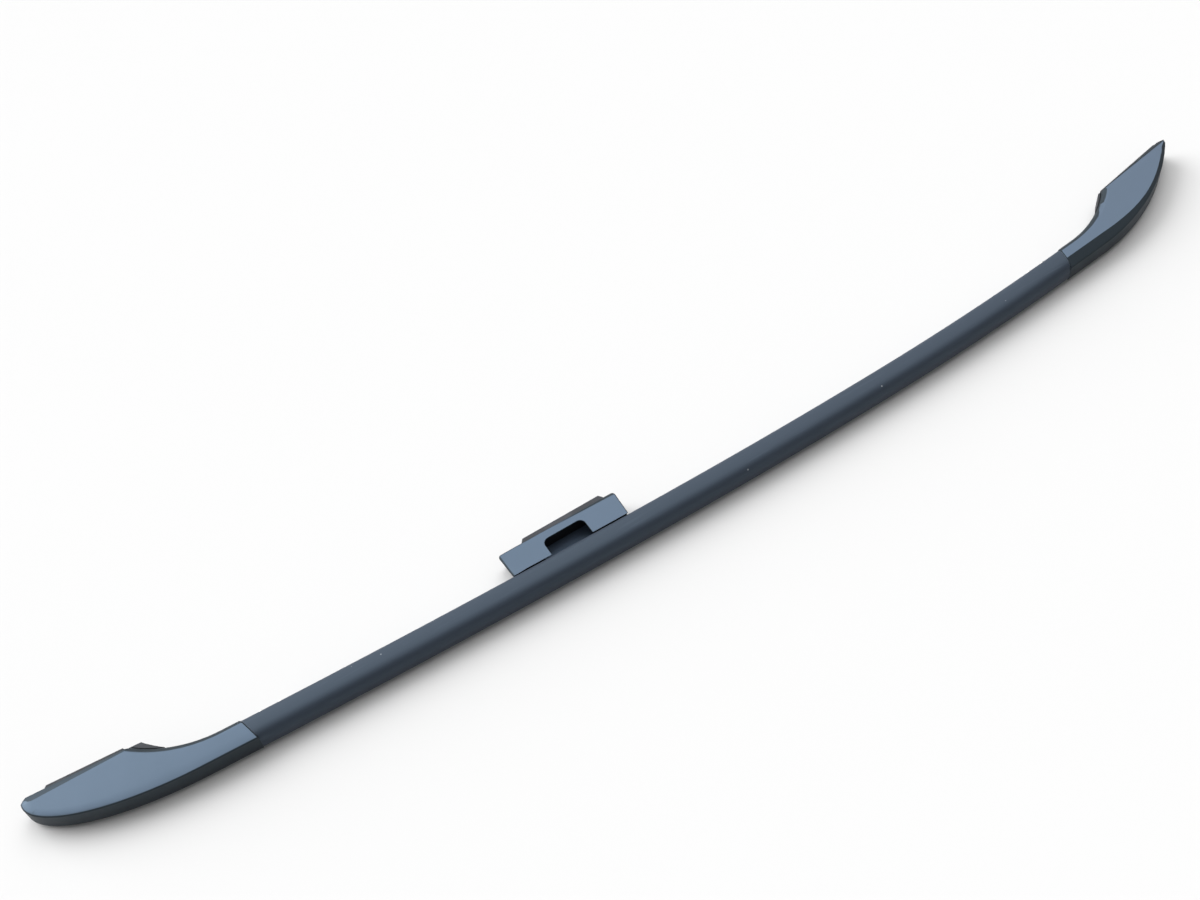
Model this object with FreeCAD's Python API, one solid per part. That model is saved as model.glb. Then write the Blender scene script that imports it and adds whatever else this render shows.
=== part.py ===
import FreeCAD, Part
import math
import os

# Car roof rail with two end feet and a middle foot, in millimetres.
# It lies on its inner side: X runs along the rail from front to rear,
# +Y points to the car's roof and +Z to the car's outer side.

Vector = FreeCAD.Vector
UP = Vector(0, 0, 1)

# Rail tube, a bent aluminium extrusion
tube_height = 34.0
tube_width = 34.0
tube_corner = 10.0
tube_wall = 2.5
front_slope = 3.16
front_arc_length = 584.0
front_arc_turn = 2.46
crown_arc_length = 300.0
crown_arc_turn = 2.2
rear_arc_length = 302.0
rear_arc_turn = 4.24
joint_slant = 18.0

# End feet, measured from the tube joint along the tube's end direction
front_sizes = {
    "top_straight": 59.0,
    "nose_reach": 196.0,
    "nose_drop": 62.0,
    "heel_straight": 28.0,
    "heel_radius": 155.0,
    "sole_drop": 46.5,
    "sole_angle": 1.5,
    "tip_trim": 3.5,
    "tip_angle": 50.0,
    "bevel_run": 12.0,
    "bevel_drop": 2.2,
    "rim_start": 49.1,
    "rim_angle": -1.3,
    "pad_proud": 4.4,
    "pad_nose_gap": 26.0,
    "pad_heel_gap": 8.0,
    "lip_length": 19.0,
    "lip_thickness": 4.5,
}
rear_sizes = {
    "top_straight": 59.0,
    "nose_reach": 290.0,
    "nose_drop": 270.0,
    "heel_straight": 29.0,
    "heel_radius": 150.0,
    "sole_drop": 37.5,
    "sole_angle": 5.56,
    "tip_trim": 11.0,
    "tip_angle": 0.0,
    "bevel_run": 13.0,
    "bevel_drop": 6.0,
    "rim_start": 35.2,
    "rim_angle": 4.64,
    "pad_proud": 2.5,
    "pad_nose_gap": 20.0,
    "pad_heel_gap": 1.0,
    "lip_length": 30.0,
    "lip_thickness": 2.5,
}

# Moulded end covers
cover_wall = 2.5
rim_chamfer = 3.0
rim_slope = 15.0
cover_rib = 1.8
cover_rib_first = 18.0
cover_rib_gap = 22.0
cover_rib_recess = 9.0

# Die-cast end brackets
spigot_length = 62.0
spigot_root = 34.0
spigot_wall = 4.0
spigot_clearance = 0.7
bracket_clearance = 0.3
bracket_wall = 4.0
bracket_web = 5.0
bracket_base = 6.0
bracket_nose_gap = 62.0
base_recess = 2.0

# Gaskets
gasket_flange = 1.0
gasket_step = 4.0
gasket_gap = 0.3

# Threaded inserts that take the roof bolts
insert_bore = 3.4
insert_radius = 6.0
insert_length = 16.0
insert_flange_radius = 8.0
insert_flange = 1.5
insert_sink = 2.0
insert_heel_gap = 12.0
insert_nose_gap = 12.5
boss_wall = 3.0
bolt_clearance = 1.6
fit_gap = 0.05

# Screws that hold the tube on the spigots
spigot_screw_radius = 2.4
spigot_screw_length = 12.0
spigot_screw_head_radius = 4.5
spigot_screw_head = 2.6
spigot_screw_first = 20.0
spigot_screw_pitch = 24.0

# Screw that holds each end cover on its bracket
cover_screw_radius = 2.0
cover_screw_length = 14.0
cover_screw_head_radius = 3.8
cover_screw_head = 2.4
lug_reach = 18.0
lug_half_width = 7.0
lug_thickness = 6.0
lug_seat = 3.0
cover_boss_radius = 5.0

# Share of a screw head that its hexagon drive takes
drive_radius_share = 0.5
drive_depth_share = 0.6

# Middle foot, measured from the tube's axis at its own station along the rail
middle_station = 425.5
middle_length = 157.0
middle_flare = 2.5
middle_draft = 6.0
middle_width = 28.0
middle_sole = 51.8
middle_pad_proud = 5.5
middle_wall = 2.5
middle_corner = 4.0
middle_edge = 1.5
middle_tube_gap = 0.5
window_offset = 1.5
window_width = 56.0
window_top = 39.0
window_corner = 8.0
post_length = 40.0
post_gap = 0.5
middle_base = 6.0
saddle_pad = 1.8
saddle_pad_gap = 0.3
hook_reach = 1.6
hook_thickness = 1.4
middle_gasket_front_inset = 33.0
middle_gasket_rear_inset = 14.0
middle_insert_offset = 40.0

# Screws that pull the middle foot against the tube
saddle_screw_radius = 3.0
saddle_screw_head_radius = 5.0
saddle_screw_head = 6.0
saddle_screw_sink = 12.0
saddle_screw_end_gap = 18.5
saddle_screw_clearance = 0.3
rivet_nut_radius = 4.5
rivet_nut_length = 12.0
rivet_flange_radius = 6.5
rivet_flange = 1.0

# How far cutting bodies reach past what they cut, across the rail and into one piece
over = 80.0
short_over = 20.0

centre_z = tube_width / 2
half_height = tube_height / 2
saddle_screw_offset = middle_length / 2 - saddle_screw_end_gap
rail_arcs = (
    (front_arc_length, front_arc_turn),
    (crown_arc_length, crown_arc_turn),
    (rear_arc_length, rear_arc_turn),
)
rail_length = sum(length for length, turn in rail_arcs)
rear_slope = sum(turn for length, turn in rail_arcs) - front_slope


def prism(points, bottom, top):
    """An upright prism on a polygon of (x, y) points."""
    corners = [Vector(x, y, bottom) for x, y in points]
    face = Part.Face(Part.makePolygon(corners + corners[:1]))
    return face.extrude(Vector(0, 0, top - bottom))


def upright(edges, bottom, top):
    """An upright prism on a closed chain of edges drawn at Z = 0."""
    wire = Part.Wire(edges)
    wire.translate(Vector(0, 0, bottom))
    return Part.Face(wire).extrude(Vector(0, 0, top - bottom))


def line(start, end):
    """A straight edge."""
    return Part.LineSegment(start, end).toShape()


def fused(first, *others):
    """Solids joined into one, without seams between flush faces."""
    return first.fuse(list(others)).removeSplitter()


def rod(start, direction, length, radius):
    """A cylinder from a point along a direction."""
    return Part.makeCylinder(radius, length, start, direction)


def rounded_section(shrink):
    """The tube's rounded outline in the YZ plane, drawn in on all sides by shrink."""
    corner = tube_corner - shrink
    flat_y = half_height - tube_corner
    flat_z = tube_width / 2 - tube_corner
    arcs = []
    for quarter in range(4):
        side_y = 1 if quarter in (0, 3) else -1
        side_z = 1 if quarter in (0, 1) else -1
        middle = Vector(0, side_y * flat_y, centre_z + side_z * flat_z)
        ends = []
        for eighth in range(3):
            angle = math.radians(90 * quarter + 45 * eighth)
            ends.append(middle + Vector(0, corner * math.cos(angle), corner * math.sin(angle)))
        arcs.append(ends)
    edges = []
    for index, ends in enumerate(arcs):
        edges.append(Part.Arc(ends[0], ends[1], ends[2]).toShape())
        edges.append(line(ends[2], arcs[(index + 1) % 4][0]))
    return Part.Face(Part.Wire(edges))


def rail_station(distance):
    """The point and heading of the tube's axis at a distance from the front joint."""
    point = Vector(0, 0, 0)
    heading = -front_slope
    left = distance
    for index, (length, turn) in enumerate(rail_arcs):
        last = index == len(rail_arcs) - 1
        step = left if last else min(left, length)
        bend = turn * step / length
        radius = length / math.radians(turn)
        angle = math.radians(heading)
        after = math.radians(heading + bend)
        point = point + Vector(
            radius * (math.sin(after) - math.sin(angle)),
            radius * (math.cos(angle) - math.cos(after)), 0)
        heading = heading + bend
        left = left - step
        if left <= 0:
            break
    return point, heading


def roof_normal(heading):
    """The direction across the tube towards the roof."""
    angle = math.radians(heading)
    return Vector(-math.sin(angle), math.cos(angle), 0)


def rail_sweep(shrink, begin, finish):
    """The tube's outline swept along the rail between two distances."""
    pieces = []
    passed = 0.0
    for index, (length, turn) in enumerate(rail_arcs):
        first = begin if index == 0 else max(begin, passed)
        end = finish if index == len(rail_arcs) - 1 else min(finish, passed + length)
        passed = passed + length
        if end <= first:
            continue
        radius = length / math.radians(turn)
        point, heading = rail_station(first)
        face = rounded_section(shrink)
        face.rotate(Vector(0, 0, 0), UP, heading)
        face.translate(point)
        pieces.append(face.revolve(point + roof_normal(heading) * radius, UP, turn * (end - first) / length))
    return fused(*pieces) if len(pieces) > 1 else pieces[0]


def at_front(shape):
    """Moves a foot from its own frame to the rail's front end."""
    moved = shape.mirror(Vector(0, 0, 0), Vector(1, 0, 0))
    moved.rotate(Vector(0, 0, 0), UP, -front_slope)
    return moved


def at_rear(shape):
    """Moves a foot from its own frame to the rail's rear end."""
    moved = shape.copy()
    moved.rotate(Vector(0, 0, 0), UP, rear_slope)
    moved.translate(rail_station(rail_length)[0])
    return moved


def at_middle(shape):
    """Moves the middle foot from its own frame, which is level with the roof, to its station."""
    moved = shape.copy()
    moved.translate(rail_station(middle_station)[0])
    return moved


def outboard_wedge():
    """All that lies beyond the slanted joint plane, in an end foot's frame."""
    lean = math.tan(math.radians(joint_slant)) * over
    points = ((-lean, -over), (over, -over), (over, over), (lean, over))
    return prism(points, -over, over)


def inboard_wedge():
    """All that lies on the tube's side of the slanted joint plane."""
    lean = math.tan(math.radians(joint_slant)) * over
    points = ((-lean, -over), (lean, over), (-2 * over, over), (-2 * over, -over))
    return prism(points, -over, over)


def sole_v(sizes, u, out):
    """The sole line at a distance u from the joint, moved outwards by out."""
    return sizes["sole_drop"] + math.tan(math.radians(sizes["sole_angle"])) * u + out


def meeting_turn(cosine_part, sine_part, target):
    """The turn at which a cosine and a sine share add up to the target."""
    return math.atan2(sine_part, cosine_part) + math.acos(target / math.hypot(cosine_part, sine_part))


def nose_turn(sizes, inset, out):
    """How far the nose curve turns before it meets the sole line."""
    slope = math.tan(math.radians(sizes["sole_angle"]))
    target = sizes["nose_drop"] - half_height - sole_v(sizes, sizes["top_straight"], out)
    return meeting_turn(sizes["nose_drop"] - inset, slope * (sizes["nose_reach"] - inset), target)


def nose_point(sizes, inset, out):
    """Where the nose curve meets the sole line."""
    turn = nose_turn(sizes, inset, out)
    reach = sizes["nose_reach"] - inset
    drop = sizes["nose_drop"] - inset
    return Vector(
        sizes["top_straight"] + reach * math.sin(turn),
        sizes["nose_drop"] - half_height - drop * math.cos(turn), 0)


def heel_centre(sizes):
    """The centre of the hollow curve between the tube and the sole."""
    return Vector(sizes["heel_straight"], half_height + sizes["heel_radius"], 0)


def heel_turn(sizes, inset, out):
    """How far the heel curve turns before it meets the sole line."""
    slope = math.tan(math.radians(sizes["sole_angle"]))
    radius = sizes["heel_radius"] + inset
    target = heel_centre(sizes).y - sole_v(sizes, sizes["heel_straight"], out)
    return meeting_turn(radius, slope * radius, target)


def heel_point(sizes, inset, out, share=1.0):
    """A point on the heel curve, by default where it meets the sole line."""
    turn = heel_turn(sizes, inset, out) * share
    radius = sizes["heel_radius"] + inset
    return heel_centre(sizes) + Vector(radius * math.sin(turn), -radius * math.cos(turn), 0)


def nose_curve(sizes, inset, out):
    """The nose's quarter of an ellipse, up to the sole line."""
    reach = sizes["nose_reach"] - inset
    drop = sizes["nose_drop"] - inset
    centre = Vector(sizes["top_straight"], sizes["nose_drop"] - half_height, 0)
    along = centre + Vector(reach, 0, 0)
    across = centre + Vector(0, drop, 0)
    if reach >= drop:
        ellipse = Part.Ellipse(along, across, centre)
        start = -math.pi / 2
    else:
        ellipse = Part.Ellipse(across, centre - Vector(reach, 0, 0), centre)
        start = math.pi
    return Part.ArcOfEllipse(ellipse, start, start + nose_turn(sizes, inset, out)).toShape()


def foot_outline(sizes, top_inset, roof_inset, out, begin):
    """The side outline of an end foot: top run, nose, sole, heel curve and roof-side run."""
    top_v = top_inset - half_height
    roof_v = half_height - roof_inset
    top_end = Vector(sizes["top_straight"], top_v, 0)
    roof_end = Vector(sizes["heel_straight"], roof_v, 0)
    nose = nose_point(sizes, top_inset, out)
    heel = heel_point(sizes, roof_inset, out)
    return [
        line(Vector(begin, top_v, 0), top_end),
        nose_curve(sizes, top_inset, out),
        line(nose, heel),
        Part.Arc(heel, heel_point(sizes, roof_inset, out, share=0.5), roof_end).toShape(),
        line(roof_end, Vector(begin, roof_v, 0)),
        line(Vector(begin, roof_v, 0), Vector(begin, top_v, 0)),
    ]


def matching_edges(solid, outline, level):
    """The solid's edges that lie where the outline's edges lie at a level."""
    found = []
    for model in outline:
        middle = model.valueAt((model.FirstParameter + model.LastParameter) / 2)
        probe = Part.Vertex(Vector(middle.x, middle.y, level))
        found.extend(edge for edge in solid.Edges if edge.distToShape(probe)[0] < fit_gap / 10)
    return found


def foot_block(sizes, inset, out):
    """An end foot's body, drawn in by inset: rounded edges, bevelled top edge and sloped rim."""
    bottom = inset
    top = tube_width - inset
    begin = -2 * short_over
    outline = foot_outline(sizes, inset, inset, out, begin)
    block = upright(outline, bottom, top)
    edges = matching_edges(block, outline[0:2] + outline[3:5], bottom)
    edges = edges + matching_edges(block, outline[3:5], top)
    block = block.makeFillet(tube_corner - inset, edges)
    run = sizes["bevel_run"]
    level = top - 2 * sizes["bevel_drop"]
    crown = Part.makeLoft([bevel_outline(sizes, inset - run, out, level),
                           bevel_outline(sizes, inset + run, out, top)], True, True)
    reach = nose_point(sizes, 0, 0).x + over
    upper = prism(((-over, -over), (reach, -over), (reach, 2 * over), (-over, 2 * over)), level, top + over)
    return block.cut([upper.cut(crown), rim_bar(sizes, inset)])


def bevel_outline(sizes, inset, out, level):
    """The bevel plane's outline at a level: the top run and nose, closed beyond the sole."""
    beyond = out + sizes["bevel_run"]
    begin = -over
    top_v = inset - half_height
    nose = nose_point(sizes, inset, beyond)
    wire = Part.Wire([
        line(Vector(begin, top_v, 0), Vector(sizes["top_straight"], top_v, 0)),
        nose_curve(sizes, inset, beyond),
        line(nose, Vector(begin, nose.y, 0)),
        line(Vector(begin, nose.y, 0), Vector(begin, top_v, 0)),
    ])
    wire.translate(Vector(0, 0, level))
    return wire


def bar_along(sizes, angle, base, points):
    """A bar along a line at an angle, on a polygon of (v, z) points beside the line's base."""
    tilt = math.radians(angle)
    along = Vector(math.cos(tilt), math.sin(tilt), 0)
    start = Vector(0, base, 0) - along * over
    corners = [start + Vector(0, v, z) for v, z in points]
    face = Part.Face(Part.makePolygon(corners + corners[:1]))
    return face.extrude(along * (nose_point(sizes, 0, 0).x + 2 * over))


def rim_bar(sizes, inset):
    """What the slope along the sole takes off the outer side of a body drawn in by inset."""
    top = tube_width - inset
    reach = 2 * short_over
    fall = reach * math.tan(math.radians(rim_slope))
    return bar_along(sizes, sizes["rim_angle"], sizes["rim_start"], (
        (0, top),
        (reach, top - fall),
        (reach, top + short_over),
        (0, top + short_over),
    ))


def rim_corner(sizes):
    """The corner that the rim's chamfer takes off on the inner side."""
    return bar_along(sizes, sizes["sole_angle"], sizes["sole_drop"], (
        (rim_chamfer, -rim_chamfer),
        (-2 * rim_chamfer, -rim_chamfer),
        (rim_chamfer, 2 * rim_chamfer),
    ))


def tip_box(sizes, deeper):
    """What the blunt tip takes off the nose's corner, or what lies deeper behind it."""
    turn = math.radians(sizes["tip_angle"])
    out = Vector(math.cos(turn), math.sin(turn), 0)
    side = Vector(-math.sin(turn), math.cos(turn), 0) * over
    base = nose_point(sizes, 0, 0) - out * (sizes["tip_trim"] + deeper)
    corners = (base - side, base - side + out * over, base + side + out * over, base + side)
    return prism([(corner.x, corner.y) for corner in corners], -over, over)


def slab_u(begin, finish):
    """An upright slab across an end foot between two distances from the joint."""
    return prism(((begin, -over), (finish, -over), (finish, 2 * over), (begin, 2 * over)), -over, over)


def cover_cavity(sizes):
    """The hollow inside an end cover, open at the sole and at the joint."""
    return foot_block(sizes, cover_wall, short_over).cut(tip_box(sizes, cover_wall))


def lug_u(sizes):
    """Where the cover's screw stands along an end foot."""
    return nose_point(sizes, 0, 0).x - bracket_nose_gap + lug_reach / 2


def lug_seat_point(sizes):
    """Where the cover screw's head seats in the bracket's lug."""
    u = lug_u(sizes)
    return Vector(u, sole_v(sizes, u, -base_recess - lug_seat), centre_z)


def end_cover(sizes):
    """A moulded end cover: a shell with two stiffening ribs and a screw boss inside."""
    cavity = cover_cavity(sizes)
    shell = foot_block(sizes, 0, 0).cut([rim_corner(sizes), tip_box(sizes, 0)]).cut(cavity)
    tip = nose_point(sizes, 0, 0)
    ribs = []
    for index in range(2):
        u = tip.x - cover_rib_first - cover_rib_gap * index
        roof = sole_v(sizes, u, -cover_rib_recess)
        slab = prism(((u, -over), (u + cover_rib, -over), (u + cover_rib, roof), (u, roof)), 0, tube_width)
        ribs.append(slab.common(cavity))
    seat = lug_seat_point(sizes)
    tilt_room = cover_boss_radius * math.tan(math.radians(sizes["sole_angle"]))
    seat.y = seat.y - (lug_thickness - lug_seat) - tilt_room - fit_gap
    boss = rod(seat, Vector(0, -1, 0), over, cover_boss_radius).common(cavity)
    shell = shell.fuse(ribs + [boss])
    shell = shell.cut(rod(seat, Vector(0, -1, 0), cover_screw_length, cover_screw_radius + fit_gap))
    return shell.cut(inboard_wedge()).removeSplitter()


def end_bracket(sizes):
    """A die-cast end bracket without its spigot: a pocketed body on a base, with the cover's lug."""
    inset = cover_wall + bracket_clearance
    nose_cut = nose_point(sizes, 0, 0).x - bracket_nose_gap
    body = foot_block(sizes, inset, -base_recess).common(slab_u(spigot_root - bracket_wall, nose_cut))
    pocket_inset = inset + bracket_wall
    outline = foot_outline(sizes, pocket_inset, pocket_inset, -base_recess - bracket_base, -2 * short_over)
    pocket_span = slab_u(spigot_root, nose_cut - bracket_wall)
    outer_pocket = upright(outline, centre_z + bracket_web / 2, tube_width).common(pocket_span)
    inner_pocket = upright(outline, 0, centre_z - bracket_web / 2).common(pocket_span)
    pocketed = body.cut([outer_pocket, inner_pocket])
    root = lug_u(sizes) - lug_reach
    end = lug_u(sizes) + lug_reach / 2
    lug = prism((
        (root, sole_v(sizes, root, -base_recess)),
        (end, sole_v(sizes, end, -base_recess)),
        (end, sole_v(sizes, end, -base_recess - lug_thickness)),
        (root, sole_v(sizes, root, -base_recess - lug_thickness)),
    ), centre_z - lug_half_width, centre_z + lug_half_width)
    seat = lug_seat_point(sizes)
    shank = rod(seat, Vector(0, -1, 0), short_over, cover_screw_radius + fit_gap)
    recess = rod(seat, Vector(0, 1, 0), short_over, cover_screw_head_radius + fit_gap)
    return body, fused(pocketed, lug).cut([shank, recess])


def cover_space(sizes):
    """The cover's wall with its clearance, which the casting stays out of."""
    inner = foot_block(sizes, cover_wall + bracket_clearance, short_over)
    return foot_block(sizes, 0, 0).cut([inner, inboard_wedge()])


def sole_point(sizes, u, out):
    """A point on the sole line moved outwards by out, as (u, v)."""
    return u, sole_v(sizes, u, out)


def heel_lip(sizes, low, high):
    """A lip that hugs the heel curve and thins out away from the sole."""
    radius = sizes["heel_radius"]
    turn = heel_turn(sizes, 0, 0)
    thin_turn = turn - sizes["lip_length"] / radius
    slide = sizes["lip_thickness"] / math.sin(turn - thin_turn)
    centre = heel_centre(sizes) + UP * low
    away = centre - Vector(math.cos(thin_turn), math.sin(thin_turn), 0) * slide
    ring = rod(centre, UP, high - low, radius).cut(rod(away, UP, high - low, radius))
    heel = heel_point(sizes, 0, 0).x
    begin = heel - 2 * sizes["lip_length"]
    return ring.common(prism((
        sole_point(sizes, begin, gasket_flange),
        sole_point(sizes, heel, gasket_flange),
        sole_point(sizes, heel, -over),
        sole_point(sizes, begin, -over),
    ), low, high))


def end_gasket(sizes):
    """A rubber gasket: a strip inside the rim, a proud pad on the sole and a lip at the heel."""
    heel = heel_point(sizes, 0, 0).x
    begin = heel + sizes["pad_heel_gap"]
    end = nose_point(sizes, 0, 0).x - sizes["pad_nose_gap"]
    low = cover_wall + gasket_gap
    high = tube_width - low - rim_chamfer
    pad = prism((
        sole_point(sizes, heel - sizes["lip_thickness"], 0),
        sole_point(sizes, heel - sizes["lip_thickness"], gasket_flange),
        sole_point(sizes, begin, gasket_flange),
        sole_point(sizes, begin + gasket_step / 2, sizes["pad_proud"]),
        sole_point(sizes, end - gasket_step, sizes["pad_proud"]),
        sole_point(sizes, end, 0),
    ), low, high)
    inner_start = heel_point(sizes, low, -base_recess).x
    strip = prism((
        sole_point(sizes, inner_start, -base_recess),
        sole_point(sizes, inner_start, 0),
        sole_point(sizes, end, 0),
        sole_point(sizes, end, -base_recess),
    ), low, high).common(foot_block(sizes, low, short_over))
    return fused(pad, strip, heel_lip(sizes, low, high))


def hexagon(start, direction, radius, depth):
    """A hexagon drive that is cut into a screw head."""
    side = direction.cross(UP)
    side.normalize()
    other = direction.cross(side)
    corners = []
    for index in range(6):
        angle = math.radians(60 * index)
        corners.append(start + side * (radius * math.cos(angle)) + other * (radius * math.sin(angle)))
    face = Part.Face(Part.makePolygon(corners + corners[:1]))
    return face.extrude(direction * -depth)


def screw(seat, out, head_radius, head, radius, length):
    """A screw whose head seats at a point, with its shank against the outward direction."""
    solid = fused(rod(seat, out, head, head_radius), rod(seat, out * -1, length, radius))
    drive = hexagon(seat + out * head, out, head_radius * drive_radius_share, head * drive_depth_share)
    return solid.cut(drive)


def insert(mouth):
    """A flanged threaded insert whose mouth faces the roof."""
    down = Vector(0, -1, 0)
    solid = fused(
        rod(mouth, down, insert_flange, insert_flange_radius),
        rod(mouth, down, insert_length, insert_radius))
    return solid.cut(rod(mouth, down, insert_length, insert_bore))


def insert_seats(mouths):
    """What the inserts take out of the casting that holds them."""
    down = Vector(0, -1, 0)
    cuts = []
    for mouth in mouths:
        rim = mouth + down * insert_flange
        cuts.append(rod(rim, down * -1, short_over, insert_flange_radius + fit_gap))
        cuts.append(rod(mouth, down, insert_length, insert_radius + fit_gap))
        cuts.append(rod(mouth, down, insert_length + boss_wall, insert_bore + fit_gap))
    return cuts


def insert_bosses(mouths):
    """The solid posts round the inserts, before they are trimmed to the casting."""
    down = Vector(0, -1, 0)
    return [rod(mouth, down, insert_length + boss_wall, insert_flange_radius + boss_wall) for mouth in mouths]


def bolt_holes(mouths):
    """Clearance holes for the roof bolts through a gasket."""
    radius = insert_bore + bolt_clearance
    lift = Vector(0, short_over / 2, 0)
    return [rod(mouth - lift, Vector(0, 1, 0), 2 * short_over, radius) for mouth in mouths]


def end_mouths(sizes, placed):
    """The two insert mouths of an end foot, level with each other in Y."""
    inner = heel_point(sizes, cover_wall, 0).x + insert_heel_gap
    outer = nose_point(sizes, 0, 0).x - bracket_nose_gap - insert_nose_gap
    near = placed(Part.Vertex(Vector(inner, sole_v(sizes, inner, -base_recess - insert_sink), centre_z))).Point
    along = 1 if placed(Part.Vertex(Vector(over, 0, 0))).X > placed(Part.Vertex(Vector(0, 0, 0))).X else -1
    return [near, near + Vector(along * (outer - inner), 0, 0)]


def spigot_screw_seats(first, along):
    """Where the screw heads seat on the tube's roof side, as points and directions."""
    seats = []
    for index in range(2):
        distance = first + along * (spigot_screw_first + index * spigot_screw_pitch)
        point, heading = rail_station(distance)
        out = roof_normal(heading)
        seats.append((point + out * (half_height + fit_gap) + UP * centre_z, out))
    return seats


def spigot(begin, finish, placed):
    """A hollow spigot that fills the tube's end and roots in the foot."""
    fit = tube_wall + spigot_clearance
    core = fit + spigot_wall
    pieces = []
    for shrink in (fit, core):
        root = rounded_section(shrink).extrude(Vector(spigot_root, 0, 0))
        pieces.append(fused(rail_sweep(shrink, begin, finish), placed(root)))
    return pieces[0].cut(pieces[1])


def end_foot(name, sizes, placed, first, along):
    """All the pieces of one end foot, by node name."""
    seats = spigot_screw_seats(first, along)
    mouths = end_mouths(sizes, placed)
    body, casting = [placed(shape) for shape in end_bracket(sizes)]
    bosses = [boss.common(body) for boss in insert_bosses(mouths)]
    inner_end = first + along * spigot_length
    stub = spigot(min(first, inner_end), max(first, inner_end), placed)
    bracket = fused(casting, stub, *bosses)
    pilots = [rod(seat, out * -1, short_over, spigot_screw_radius + fit_gap) for seat, out in seats]
    screws = [screw(seat, out, spigot_screw_head_radius, spigot_screw_head,
                    spigot_screw_radius, spigot_screw_length) for seat, out in seats]
    lug_screw = screw(lug_seat_point(sizes), Vector(0, 1, 0), cover_screw_head_radius,
                      cover_screw_head, cover_screw_radius, cover_screw_length)
    return {
        name + "_foot_cover": placed(end_cover(sizes)),
        name + "_foot_bracket": bracket.cut([placed(cover_space(sizes))] + pilots + insert_seats(mouths)),
        name + "_foot_gasket": placed(end_gasket(sizes)).cut(bolt_holes(mouths)),
        name + "_spigot_screws": Part.makeCompound(screws),
        name + "_cover_screw": placed(lug_screw),
        name + "_fixing_inserts": Part.makeCompound([insert(mouth) for mouth in mouths]),
    }


def middle_outline(inset, roof_end):
    """The middle foot's side outline as (x, y) points, a little longer at the sole."""
    near = middle_length / 2 - inset
    far = near + middle_flare * roof_end / middle_sole
    return (-near, 0), (near, 0), (far, roof_end), (-far, roof_end)


def middle_prism(inset, roof_end):
    """The middle foot's body with upright ends, drawn in by inset on its sides."""
    half = middle_width / 2 - inset
    return prism(middle_outline(inset, roof_end), centre_z - half, centre_z + half)


def draft_wedges(inset):
    """What the draft takes off both ends of the middle foot's body."""
    near = middle_length / 2 - inset
    low = centre_z - middle_width / 2
    high = centre_z + middle_width / 2 - middle_edge
    lean = short_over * middle_draft / (high - low)
    wedges = []
    for side in (1, -1):
        along = Vector(side * middle_flare, middle_sole, 0)
        corners = [Vector(side * x, 0, z) - along for x, z in (
            (near - middle_draft - lean, low - short_over),
            (near + short_over, low - short_over),
            (near + short_over, high + short_over),
            (near + lean, high + short_over),
        )]
        wedges.append(Part.Face(Part.makePolygon(corners + corners[:1])).extrude(along * 3))
    return wedges


def middle_block(inset, roof_end):
    """The middle foot's body, drawn in by inset on its sides, with sloped ends."""
    return middle_prism(inset, roof_end).cut(draft_wedges(inset))


def middle_cover():
    """The moulded middle cover: an open shell with a window beside the tube and two hooks."""
    block = middle_prism(0, middle_sole)
    corner_edges = [edge for edge in block.Edges
                    if abs(edge.Vertexes[0].Z - edge.Vertexes[-1].Z) > middle_wall
                    and edge.CenterOfMass.y > middle_sole - middle_wall]
    block = block.makeFillet(middle_corner, corner_edges)
    face_edges = [edge for edge in block.Edges
                  if abs(edge.CenterOfMass.z - centre_z) > middle_width / 2 - middle_edge
                  and edge.CenterOfMass.y > middle_wall]
    block = block.makeFillet(middle_edge, face_edges).cut(draft_wedges(0))
    shell = block.cut(middle_block(middle_wall, middle_sole + short_over))
    front = window_offset - window_width / 2
    rear = window_offset + window_width / 2
    window = prism(((front, -over), (rear, -over), (rear, window_top), (front, window_top)),
                   centre_z + middle_width / 2 - 2 * middle_wall, tube_width + over)
    window_edges = [edge for edge in window.Edges
                    if abs(edge.CenterOfMass.y - window_top) < fit_gap
                    and abs(edge.Vertexes[0].Z - edge.Vertexes[-1].Z) > middle_wall]
    shell = shell.cut(window.makeFillet(window_corner, window_edges))
    hooks = []
    for side in (1, -1):
        root = side * (middle_length / 2 + middle_flare)
        tip = side * (middle_length / 2 - middle_wall - hook_reach)
        low = middle_sole - base_recess + fit_gap
        slab = prism(((root, low), (tip, low), (tip + side * hook_reach, low + hook_thickness),
                      (root, low + hook_thickness)),
                     centre_z - middle_width / 4, centre_z + middle_width / 4)
        hooks.append(slab.common(block))
    return fused(shell, *hooks)


def middle_bracket_body():
    """The middle bracket before it is trimmed to the tube: two posts on a base."""
    inset = middle_wall + post_gap
    base_v = middle_sole - base_recess
    block = middle_block(inset, base_v)
    gap = middle_length / 2 - inset - post_length
    space = prism(((-gap, -over), (gap, -over), (gap, base_v - middle_base), (-gap, base_v - middle_base)),
                  -over, over)
    return block.cut(space)


def middle_gasket():
    """The rubber gasket under the middle foot."""
    inset = middle_wall + gasket_gap
    front = middle_gasket_front_inset - middle_length / 2 - middle_flare
    rear = middle_length / 2 + middle_flare - middle_gasket_rear_inset
    half = middle_width / 2 - inset
    pad = prism((
        (front, middle_sole - base_recess),
        (front, middle_sole),
        (front + gasket_step, middle_sole + middle_pad_proud),
        (rear - gasket_step, middle_sole + middle_pad_proud),
        (rear, middle_sole),
        (rear, middle_sole - base_recess),
    ), centre_z - half, centre_z + half)
    return pad


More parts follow.
